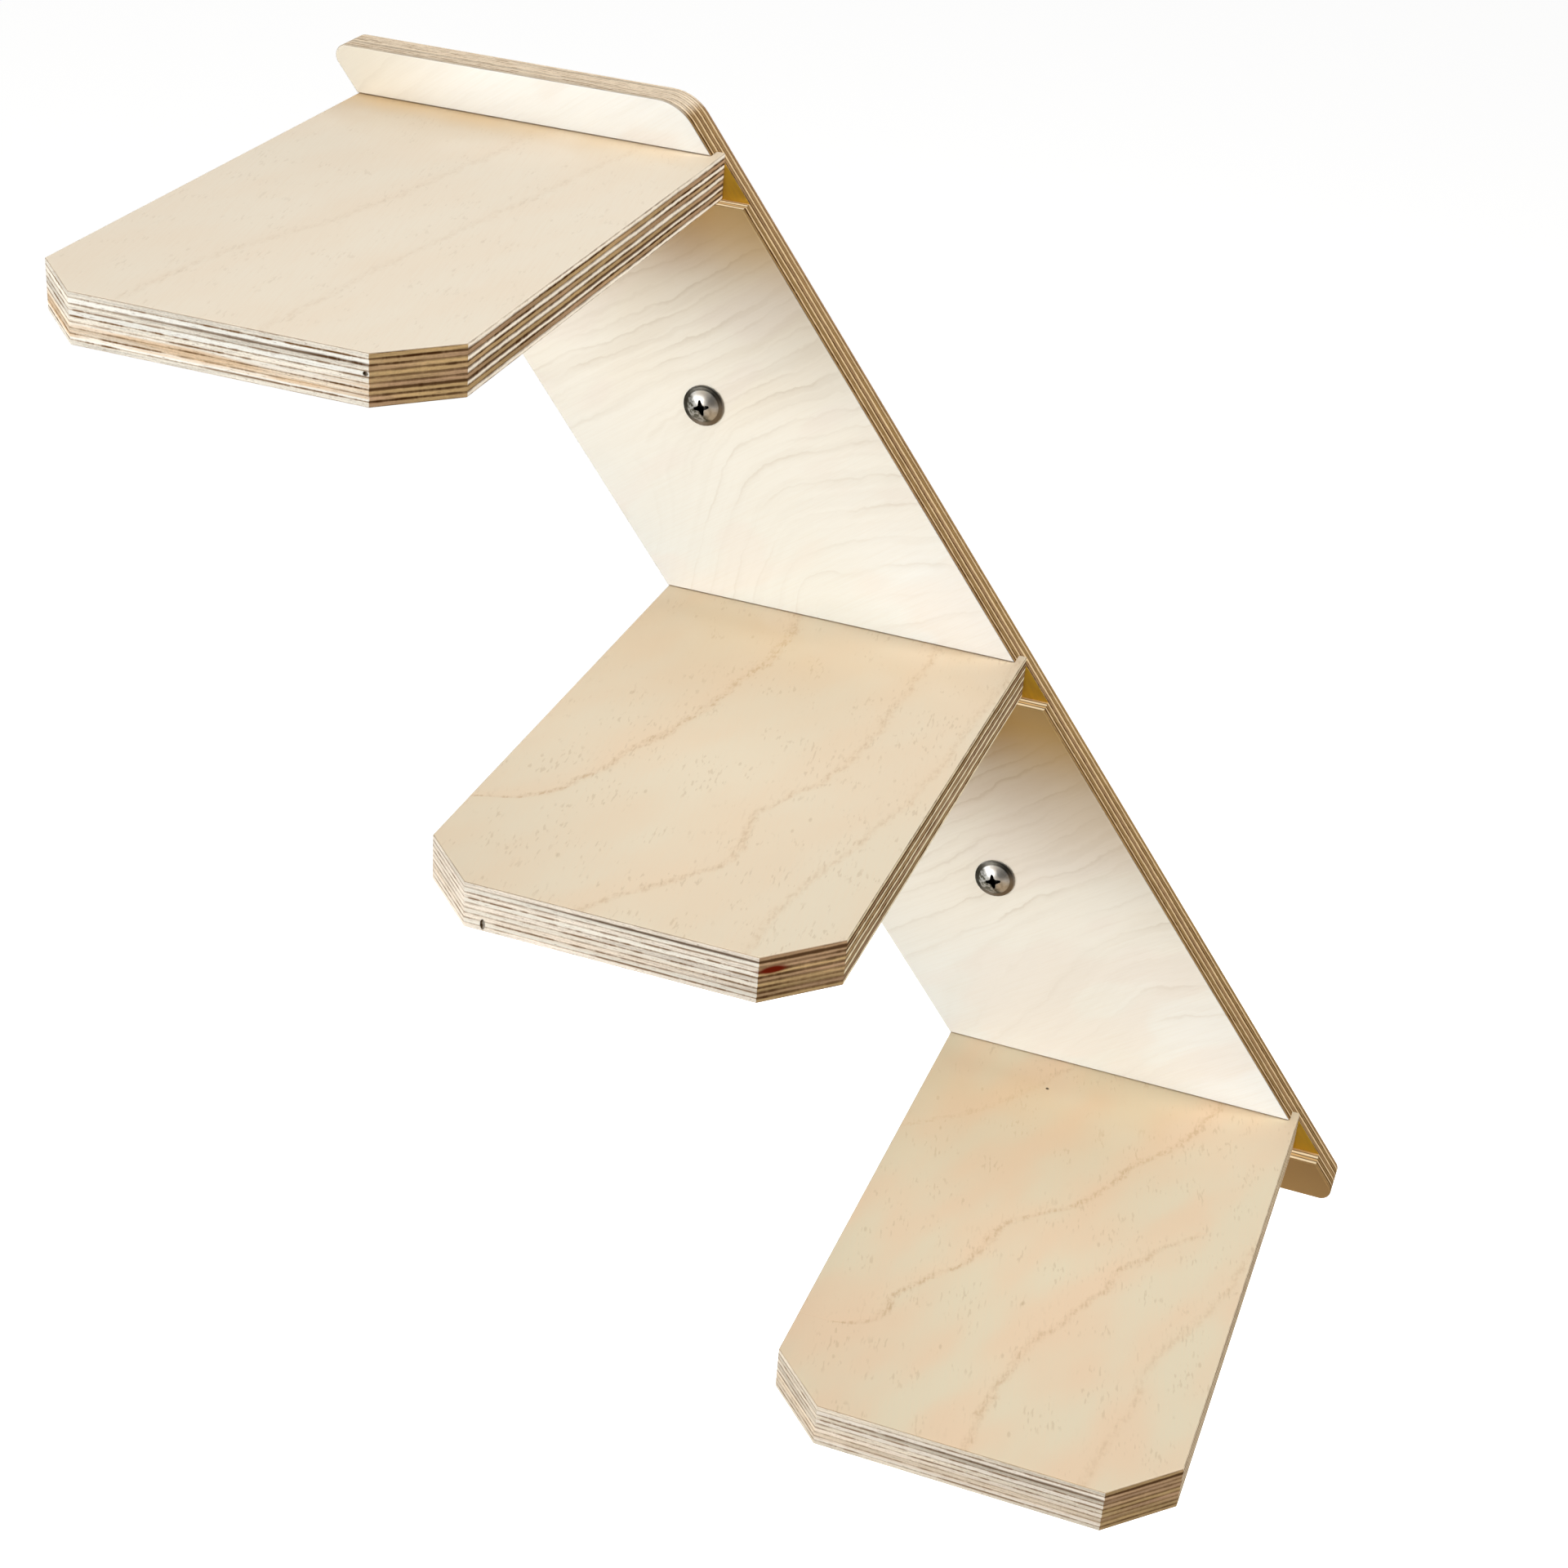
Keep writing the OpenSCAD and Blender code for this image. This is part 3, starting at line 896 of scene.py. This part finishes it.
def with_painted_shade(g, colour, moved, turn, shade):
    """Painted shade: the colour darker towards the step's left end, and browner and darker towards the plate.
    """
    out = g.times(g.y, -1.0)
    # Painted shade, darker towards the left end
    left = g.times(g.ease(g.x, 0.0, 60.0, shade["left"], 0.0), g.ease(out, 8.0, 30.0))
    colour = g.scaled(colour, g.minus(1.0, left))
    # Painted shade, browner to the rear and darker beside the plate
    rear = g.times(g.ease(out, 0.0, 14.0, 0.1, 1.0), g.ease(out, 20.0, 95.0, shade["rear"], 0.0))
    rear = g.times(rear, g.ease(g.x, 45.0, 100.0, 1.0, 0.1))
    shade_beside_plate = g.times(g.fade(out, 2.0, 28.0), g.ease(g.x, 10.0, 95.0, *shade["shade_beside_plate"]))
    colour = g.mix(g.add(rear, shade_beside_plate), colour, REAR_SHADE_TONE)
    # Painted shade by the plate, warmer in streaks
    near = g.times(g.ease(out, 0.0, 16.0, shade["joint_shade"], 0.0), g.ease(g.x, 20.0, 95.0, 1.0, 0.5))
    warm = g.ease(streaks(g, moved, turn + 0.6, 30.0, 22.0, detail=1.0), 0.4, 0.6)
    joint_shade = g.add(near, g.times(g.ease(out, 0.0, 48.0, 0.16, 0.0), warm))
    return g.mix(joint_shade, colour, JOINT_SHADE_TONE)


def step_face(g, turn, seed, node):
    """Rotary-cut birch veneer: soft blotches, fine streaks, wandering veins and flecks, with painted shade
    towards the plate and the left end.
    """
    shade = STEP_PAINTED_SHADE_AND_FLECKS[node]
    moved = moved_to(g, seed)
    blotch = streaks(g, moved, turn - 0.5, 34.0, 15.0, detail=1.5)
    colour = g.mix(g.ease(blotch, 0.3, 0.7, 0.12, 0.88), *STEP_FACE[node])
    fine = streaks(g, moved, turn, 12.0, 0.5, detail=3.0)
    colour = g.mix(g.times(g.ease(fine, 0.35, 0.8), 0.12), colour, VEIN_BLUSH)
    colour, vein_depth, near_vein = with_veins(g, colour, moved, turn, VEINS[node])
    colour, fleck_depth = with_flecks(g, colour, moved, turn, seed, near_vein, shade["flecks"])
    colour = with_painted_shade(g, colour, moved, turn, shade)
    return colour, g.minus(g.times(fine, 0.5), g.add(vein_depth, fleck_depth))


# The plate's figure, in mm: rings run across it, and over some stretches they arch towards its upper end
RING_SPACING = 4.3
ARCH_ROUNDING = 7.0
ARCHES = [
    {"across": 0.0, "from": (-25.0, 5.0), "to": (48.0, 86.0), "left": 0.9, "right": 0.32},
    {"across": 24.0, "from": (-185.0, -160.0), "to": (-118.0, -88.0), "left": 0.45, "right": 0.3},
]
EYE_PLACE = (-11.0, 13.0)
EYE_REACH = 13.0
EYE_RINGS = -1.3

# Heights on the plate, in mm: its panels start under the steps, its tail under the lowest groove
PANEL_TOP = UPPER_LOW.z
TAIL_TOP = LOWER_LOW.z + 1.0
DADO_REACH = UPPER_HIGH.z + 5.0
# Where tones change, in mm: along x on the strip, from the plate's left edge for the panels' painted light
# and shade, and in height for the painted shade's reach
STRIP_SPAN = (-150.0, -105.0)
PAINTED_LIGHT_SPAN = (50.0, 90.0)
UNDER_SHADE_SPAN = (66.0, 96.0)
PANEL_CHANGE = (-30.0, 10.0)
STRIP_SHARE = 0.85
TAIL_SHADE_SHARE = 0.92


def ring_number(g, moved, turn):
    """The number of the ring at a place. Its fraction is how far on in that ring the place is."""
    across, along = turned(g, g.place, turn)
    warp = g.times(g.noise(g.scaled(moved, 0.013)), 20.0)
    ripple = g.times(g.noise(g.scaled(moved, 0.1), detail=3.0, rough=0.65), 4.5)
    height = g.add(along, g.add(warp, ripple))
    for arch in ARCHES:
        aside = g.add(across, -arch["across"])
        bent = g.math("SQRT", g.add(g.times(aside, aside), ARCH_ROUNDING ** 2))
        limb = g.times(g.add(bent, -ARCH_ROUNDING), (arch["left"] + arch["right"]) / 2)
        limb = g.add(limb, g.times(aside, (arch["right"] - arch["left"]) / 2))
        shown = g.times(g.ease(along, *arch["from"]), g.fade(along, *arch["to"]))
        height = g.add(height, g.times(limb, shown))
    away = g.vector("LENGTH", g.vector("SUBTRACT", g.join(g.x, g.y, 0.0), (*EYE_PLACE, 0.0)))
    return g.add(g.times(height, 1 / RING_SPACING), g.ease(away, 0.0, EYE_REACH, EYE_RINGS, 0.0))


def with_rings(g, colour, moved, turn, seed, front, depth):
    """The colour with the rings' bands, shades and crisp lines, fainter and sparser low on each front panel:
    painted washout by the bright light there.
    """
    across = turned(g, g.place, turn)[0]
    rings = ring_number(g, moved, turn)
    ring = g.math("FLOOR", rings)
    ring_tone = g.noise(g.join(g.times(ring, 3.7), seed, g.times(across, 0.015)), detail=1.0)
    broken = g.ease(streaks(g, moved, turn, 26.0, 7.0, detail=3.0), 0.35, 0.65, 0.2, 1.0)
    # Rings fade low on each panel: painted washout by the bright light there
    high = g.ease(depth, 0.3, 0.8, 1.0, 0.35)
    strength = g.times(g.times(high, broken), g.ease(ring_tone, 0.36, 0.62, 0.2, 1.0))
    second = g.size(g.math("MODULO", ring, 2.0))
    sparse = g.times(second, g.ease(depth, 0.35, 0.55, 0.0, 0.85))
    strength = g.times(strength, g.minus(1.0, g.times(sparse, front)))
    band = g.noise(g.join(g.times(rings, 1.3), g.times(across, 0.012), seed), rough=0.6)
    colour = g.mix(g.times(g.ease(band, 0.45, 0.65), g.times(high, 0.10)), colour, PLATE_RING)
    phase = g.math("FRACT", rings)
    shade = g.times(g.ease(phase, 0.15, 0.95), g.fade(phase, 0.95, 1.0))
    crisp = g.times(g.ease(phase, 0.72, 0.90), g.fade(phase, 0.90, 1.0))
    colour = g.mix(g.times(g.times(shade, strength), 0.16), colour, PLATE_RING)
    return g.mix(g.times(g.times(crisp, strength), 0.30), colour, PLATE_RING)


def plate_face(g, turn, seed):
    """Birch veneer with rings. In front, painted light makes each panel paler low down, and painted shade
    makes it browner close under each step and on the tail.
    """
    moved = moved_to(g, seed)
    front = g.over(g.z, PLATE_T / 2)
    panels = g.times(g.under(g.y, PANEL_TOP), front)
    strip = g.minus(front, panels)
    tail = g.times(front, g.under(g.y, TAIL_TOP))
    depth = g.math("FRACT", g.times(g.minus(PANEL_TOP, g.y), 1 / STEP_RISE))
    from_left = g.add(g.x, g.add(g.times(g.y, SLOPE), PLATE_W / 2))
    colour = g.mix(g.ease(streaks(g, moved, turn, 60.0, 22.0), 0.35, 0.7), *PLATE_FACE)
    # Painted light: each front panel paler low down, away from the step above
    pale = g.mix(g.ease(from_left, *PAINTED_LIGHT_SPAN), PLATE_PAINTED_LIGHT, PLATE_PAINTED_LIGHT_OUTER)
    colour = g.mix(g.times(g.ease(depth, 0.4, 0.9, 0.0, 0.8), panels), colour, pale)
    strip_tone = g.mix(g.ease(g.x, *STRIP_SPAN), PLATE_CREAM, PLATE_WHITE)
    colour = g.mix(g.times(strip, STRIP_SHARE), colour, strip_tone)
    pink = streaks(g, g.vector("ADD", moved, (40.0, 0.0, 0.0)), turn, 30.0, 16.0, detail=1.0)
    colour = g.mix(g.ease(pink, 0.5, 0.62, 0.0, 0.4), colour, PLATE_PINK)
    colour = with_rings(g, colour, moved, turn, seed, front, depth)
    fine = streaks(g, moved, turn, 16.0, 0.45, detail=3.0)
    colour = g.mix(g.times(g.ease(fine, 0.35, 0.8), 0.12), colour, PLATE_STREAK)
    # Painted shade close under each step, browner towards the outer edge, and over the tail
    soft_reach = g.ease(g.y, *PANEL_CHANGE, 0.46, 0.36)
    soft = g.times(g.ease(depth, 0.0, soft_reach, 0.30, 0.0), g.ease(g.y, *PANEL_CHANGE, 2.1, 1.1))
    joint_shade = g.times(g.add(g.ease(depth, 0.0, 0.2, 0.6, 0.0), soft), panels)
    under = g.mix(g.ease(from_left, *UNDER_SHADE_SPAN), UNDER_STEP_SHADE, UNDER_STEP_SHADE_OUTER)
    colour = g.mix(joint_shade, colour, under)
    return g.mix(g.times(tail, TAIL_SHADE_SHARE), colour, TAIL_SHADE), g.times(fine, 0.5)


def with_grooves(g, face, edge, ply, turn, end):
    """The plate's face and edge colours, with the grooves' rubbed floors and cut walls."""
    floor_z = PLATE_T - DADO_DEPTH
    sunk = g.times(g.under(g.z, floor_z + 0.3), g.over(g.z, floor_z - 0.3))
    rubbed = streaks(g, g.place, turn + pi / 2, 9.0, 1.2, detail=3.0)
    floor = g.mix(g.ease(rubbed, 0.3, 0.7), DADO_FLOOR, DADO_FLOOR_DULL)
    wall = g.times(g.over(g.size(g.split(g.normal)[1]), 0.95), g.under(g.size(g.y), DADO_REACH))
    line = g.fade(glue_gap(g, ply), 0.08, 0.26)
    cut = g.mix(g.times(line, 0.8), g.mix(end, DADO_WALL_LONG, DADO_WALL_END), GLUE)
    return g.mix(sunk, face, floor), g.mix(wall, edge, cut)


def ellipsoids(g, spots, soft):
    """1 inside the listed (middle, radii) spots, fading from 1 - soft to 1 + soft of their radii."""
    total = 0.0
    for (right, out, up), radii in spots:
        away = g.vector("SUBTRACT", g.place, (right, -out, up))
        away = g.vector("LENGTH", g.vector("DIVIDE", away, radii))
        total = g.largest(total, g.fade(away, 1.0 - soft, 1.0 + soft))
    return total


def plywood(node, thickness):
    """One board's material: face veneer, plies at its edges with painted light on those that face it, its
    stains, and painted shade in its voids.
    """
    g = Graph(node.replace("_", " ") + " plywood")
    seed = SEEDS[node]
    turn = GRAIN_TURN[node]
    marks = {**(PLATE_EDGE if node == "back_plate" else STEP_EDGE), **EDGE_MARKS[node]}
    ply = ply_height(g, thickness)
    slant = ply_slant(g, ply, turn)
    end = g.ease(slant, *marks["end_range"])
    # The edges that get painted light
    lit_pale = lit_pale_share(g, marks)
    edge = ply_colour(g, ply, slant, end, lit_pale, seed, marks)
    edge = with_glue(g, edge, ply, lit_pale, seed, marks)
    if node == "back_plate":
        face, relief = plate_face(g, turn, seed)
        face, edge = with_grooves(g, face, edge, ply, turn, end)
    else:
        face, relief = step_face(g, turn, seed, node)
    flat = g.ease(g.size(g.split(g.normal)[2]), 0.55, 0.9)
    colour = g.mix(flat, edge, face)
    # Stains are the wood's own colour; the voids get painted shade
    for spots, soft, tone in ((STAINS, 0.4, STAIN), (PITS, 0.25, PIT_SHADE)):
        if node in spots:
            colour = g.mix(ellipsoids(g, spots[node], soft), colour, tone)
    g.bump(g.mix_number(flat, g.times(end, -0.8), relief), WOOD_BUMP_M, 0.5)
    g.fill(g.shader, Specular_IOR_Level=WOOD_SPECULAR)
    edge_rough = g.ease(end, 0.0, 1.0, LONG_GRAIN_ROUGH, END_GRAIN_ROUGH)
    return g.finish(colour, g.mix_number(flat, edge_rough, FACE_ROUGH))


def steel(name, tint, smudge_tint, roughness):
    """Plated screw steel with faint turned rings and smudges, and its graph and radius."""
    g = Graph(name)
    radius = g.vector("LENGTH", g.join(g.x, g.y, 0.0))
    smudge = g.noise(g.scaled(g.place, 0.8), detail=3.0)
    colour = g.mix(g.ease(smudge, 0.35, 0.7), tint, smudge_tint)
    rings = g.noise(g.join(g.times(radius, 14.0), 0.0, g.times(g.z, 14.0)))
    g.bump(g.add(g.times(rings, 0.6), g.times(smudge, 0.4)), STEEL_BUMP_M, 0.4)
    g.fill(g.shader, Metallic=1.0)
    rough = g.add(roughness, g.times(g.ease(smudge, 0.3, 0.8), 0.14))
    return g, colour, rough, radius


def wall_screw_steel():
    """Bright steel with a painted highlight on its upper left, painted shade on its lower right and in
    mottled patches low on its left, a ring of painted shade round the dome, and painted shade down in the
    recess.
    """
    g, colour, rough, radius = steel("bright screw steel", SCREW_BRIGHT, SCREW_BRIGHT_SMUDGE, 0.35)
    up_left, down_left = turned(g, g.place, pi * 0.75 - RECESS_TURN)
    # Painted highlight on the upper left, and painted shade on the lower right
    colour = g.mix(g.ease(up_left, 0.2, 2.4, 0.0, 0.8), colour, SCREW_PAINTED_HIGHLIGHT)
    colour = g.mix(g.ease(up_left, -1.0, 0.6, 0.35, 0.0), colour, SCREW_PAINTED_SHADE)
    # Painted shade in mottled patches low on the left
    mottle = g.noise(g.scaled(g.place, 0.9), detail=3.0, rough=0.6)
    painted_dark_patches = g.times(g.ease(mottle, 0.44, 0.54, 0.55, 1.0), g.ease(down_left, -0.8, 1.5, 0.0, 0.95))
    colour = g.mix(painted_dark_patches, colour, SCREW_PAINTED_DARK_PATCHES)
    head = g.over(g.z, 0.2)
    # A ring of painted shade round the dome, black on the upper left and brown elsewhere
    rim = g.times(g.ease(radius, 4.2, 4.5), g.ease(radius, 5.3, 5.6, 1.0, 0.6))
    rim_shade = g.mix(g.ease(up_left, -3.5, 1.0), SCREW_RIM_SHADE_BROWN, SCREW_RIM_SHADE_DARK)
    colour = g.mix(g.times(g.times(rim, head), 0.95), colour, rim_shade)
    # Painted shade down in the recess
    dome = g.math("SQRT", g.minus(DOME_BALL_R ** 2, g.times(radius, radius)))
    below = g.minus(g.add(dome, DOME_TOP - DOME_BALL_R), g.z)
    inside = g.times(head, g.under(radius, RECESS_HALF_SPAN + 0.25))
    deep = g.times(g.ease(below, 0.06, 0.35), inside)
    return g.finish(g.mix(deep, colour, RECESS_PAINTED_SHADE), rough)


def step_screw_steel():
    """Yellow plated steel, with painted shade down in the recess."""
    g, colour, rough, radius = steel("yellow screw steel", SCREW_YELLOW, SCREW_YELLOW_SMUDGE, 0.26)
    # Painted shade down in the recess
    inside = g.times(g.over(g.z, -2.5), g.under(radius, RECESS_HALF_SPAN + 0.05))
    deep = g.times(g.ease(g.z, -0.3, -1.0), inside)
    return g.finish(g.mix(deep, colour, RECESS_PAINTED_SHADE), rough)


def dress(piece, material):
    """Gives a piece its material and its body."""
    piece.data.materials.clear()
    piece.data.materials.append(material)
    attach(piece, "root")


dress(make_plate(), plywood("back_plate", PLATE_T))
for step_node in STEPS:
    dress(make_step(step_node), plywood(step_node, STEP_T))
bright = wall_screw_steel()
yellow = step_screw_steel()
for screw_node in WALL_SCREWS:
    dress(make_screw(screw_node), bright)
for screw_node in STEP_SCREWS:
    dress(make_screw(screw_node), yellow)


# The studio, in m
FLOOR_Z = -1.5
FLOOR_R = 9.0
FLOOR_COLOUR = (0.72, 0.71, 0.69)
FLOOR_ROUGH = 0.9
FLOOR_GLOW = 0.9
WHITE = (1, 1, 1)
# The world as light, and as the camera sees it: colour and strength
WORLD_LIGHT = ((1.0, 0.985, 0.96), 0.07)
WORLD_SEEN = (WHITE, 1.0)
AIM = (0, -0.05, 0)
# Each lamp's name, place, size in m, power in W and, if it isn't white, colour
LAMPS = [
    ("key", (-1.05, -2.15, 0.30), 1.0, 39, (1.0, 0.985, 0.97)),
    ("left", (-2.0, -1.47, 0.53), 0.6, 10),
    ("side", (2.4, 0.3, 0.7), 2.0, 36),
    ("top", (0.75, 0.1, 2.5), 1.5, 50),
    ("rear", (-0.9, 2.4, -0.2), 1.2, 34),
]


def make_floor():
    """A pale floor well below the stairs. The camera sees it almost white, and it keeps their shadow."""
    bm = bmesh.new()
    bmesh.ops.create_circle(bm, cap_ends=True, radius=FLOOR_R, segments=96)
    mesh = bpy.data.meshes.new("floor")
    bm.to_mesh(mesh)
    bm.free()
    floor = bpy.data.objects.new("floor", mesh)
    bpy.context.scene.collection.objects.link(floor)
    floor.location = (0, 0, FLOOR_Z)
    g = Graph("pale floor")
    rays = g.node("LightPath")
    seen = g.largest(rays.outputs["Is Camera Ray"], rays.outputs["Is Glossy Ray"])
    g.fill(g.shader, Emission_Color=WHITE, Emission_Strength=g.times(seen, FLOOR_GLOW))
    mesh.materials.append(g.finish(FLOOR_COLOUR, FLOOR_ROUGH))


def make_world():
    """Faint light from all round, and plain white where the camera looks past the floor."""
    world = bpy.data.worlds.new("studio")
    bpy.context.scene.world = world
    world.use_nodes = True
    nodes, links = world.node_tree.nodes, world.node_tree.links
    nodes.clear()
    output = nodes.new("ShaderNodeOutputWorld")
    blend = nodes.new("ShaderNodeMixShader")
    rays = nodes.new("ShaderNodeLightPath")
    seen = nodes.new("ShaderNodeMath")
    seen.operation = "MAXIMUM"
    links.new(rays.outputs["Is Camera Ray"], seen.inputs[0])
    links.new(rays.outputs["Is Transmission Ray"], seen.inputs[1])
    links.new(seen.outputs[0], blend.inputs[0])
    for slot, (colour, strength) in enumerate((WORLD_LIGHT, WORLD_SEEN), 1):
        background = nodes.new("ShaderNodeBackground")
        background.inputs["Color"].default_value = (*colour, 1)
        background.inputs["Strength"].default_value = strength
        links.new(background.outputs[0], blend.inputs[slot])
    links.new(blend.outputs[0], output.inputs["Surface"])


def soft_lamp(name, place, size, power, colour=(1, 1, 1)):
    """A round area lamp that looks at the stairs."""
    data = bpy.data.lights.new(name, "AREA")
    data.shape = "DISK"
    data.size = size
    data.energy = power
    data.color = colour
    lamp = bpy.data.objects.new(name, data)
    bpy.context.scene.collection.objects.link(lamp)
    lamp.location = place
    lamp.rotation_euler = (Vector(AIM) - Vector(place)).to_track_quat("-Z", "Y").to_euler()


def make_camera():
    """The photograph's camera, as its fit to the stairs' corners gave it."""
    data = bpy.data.cameras.new("photo camera")
    data.sensor_width = SENSOR_MM
    data.sensor_height = SENSOR_MM
    data.sensor_fit = "HORIZONTAL"
    data.lens = FOCAL_PX * SENSOR_MM / IMAGE_PX
    data.clip_start = 0.01
    data.clip_end = 60
    camera = bpy.data.objects.new("photo camera", data)
    bpy.context.scene.collection.objects.link(camera)
    turn = Matrix((CAMERA_RIGHT, -CAMERA_DOWN, -CAMERA_FORWARD)).transposed()
    camera.matrix_world = Matrix.Translation(CAMERA_EYE) @ turn.to_4x4()
    bpy.context.scene.camera = camera


make_floor()
make_world()
for lamp in LAMPS:
    soft_lamp(*lamp)
make_camera()
bpy.context.scene.view_settings.view_transform = "Standard"
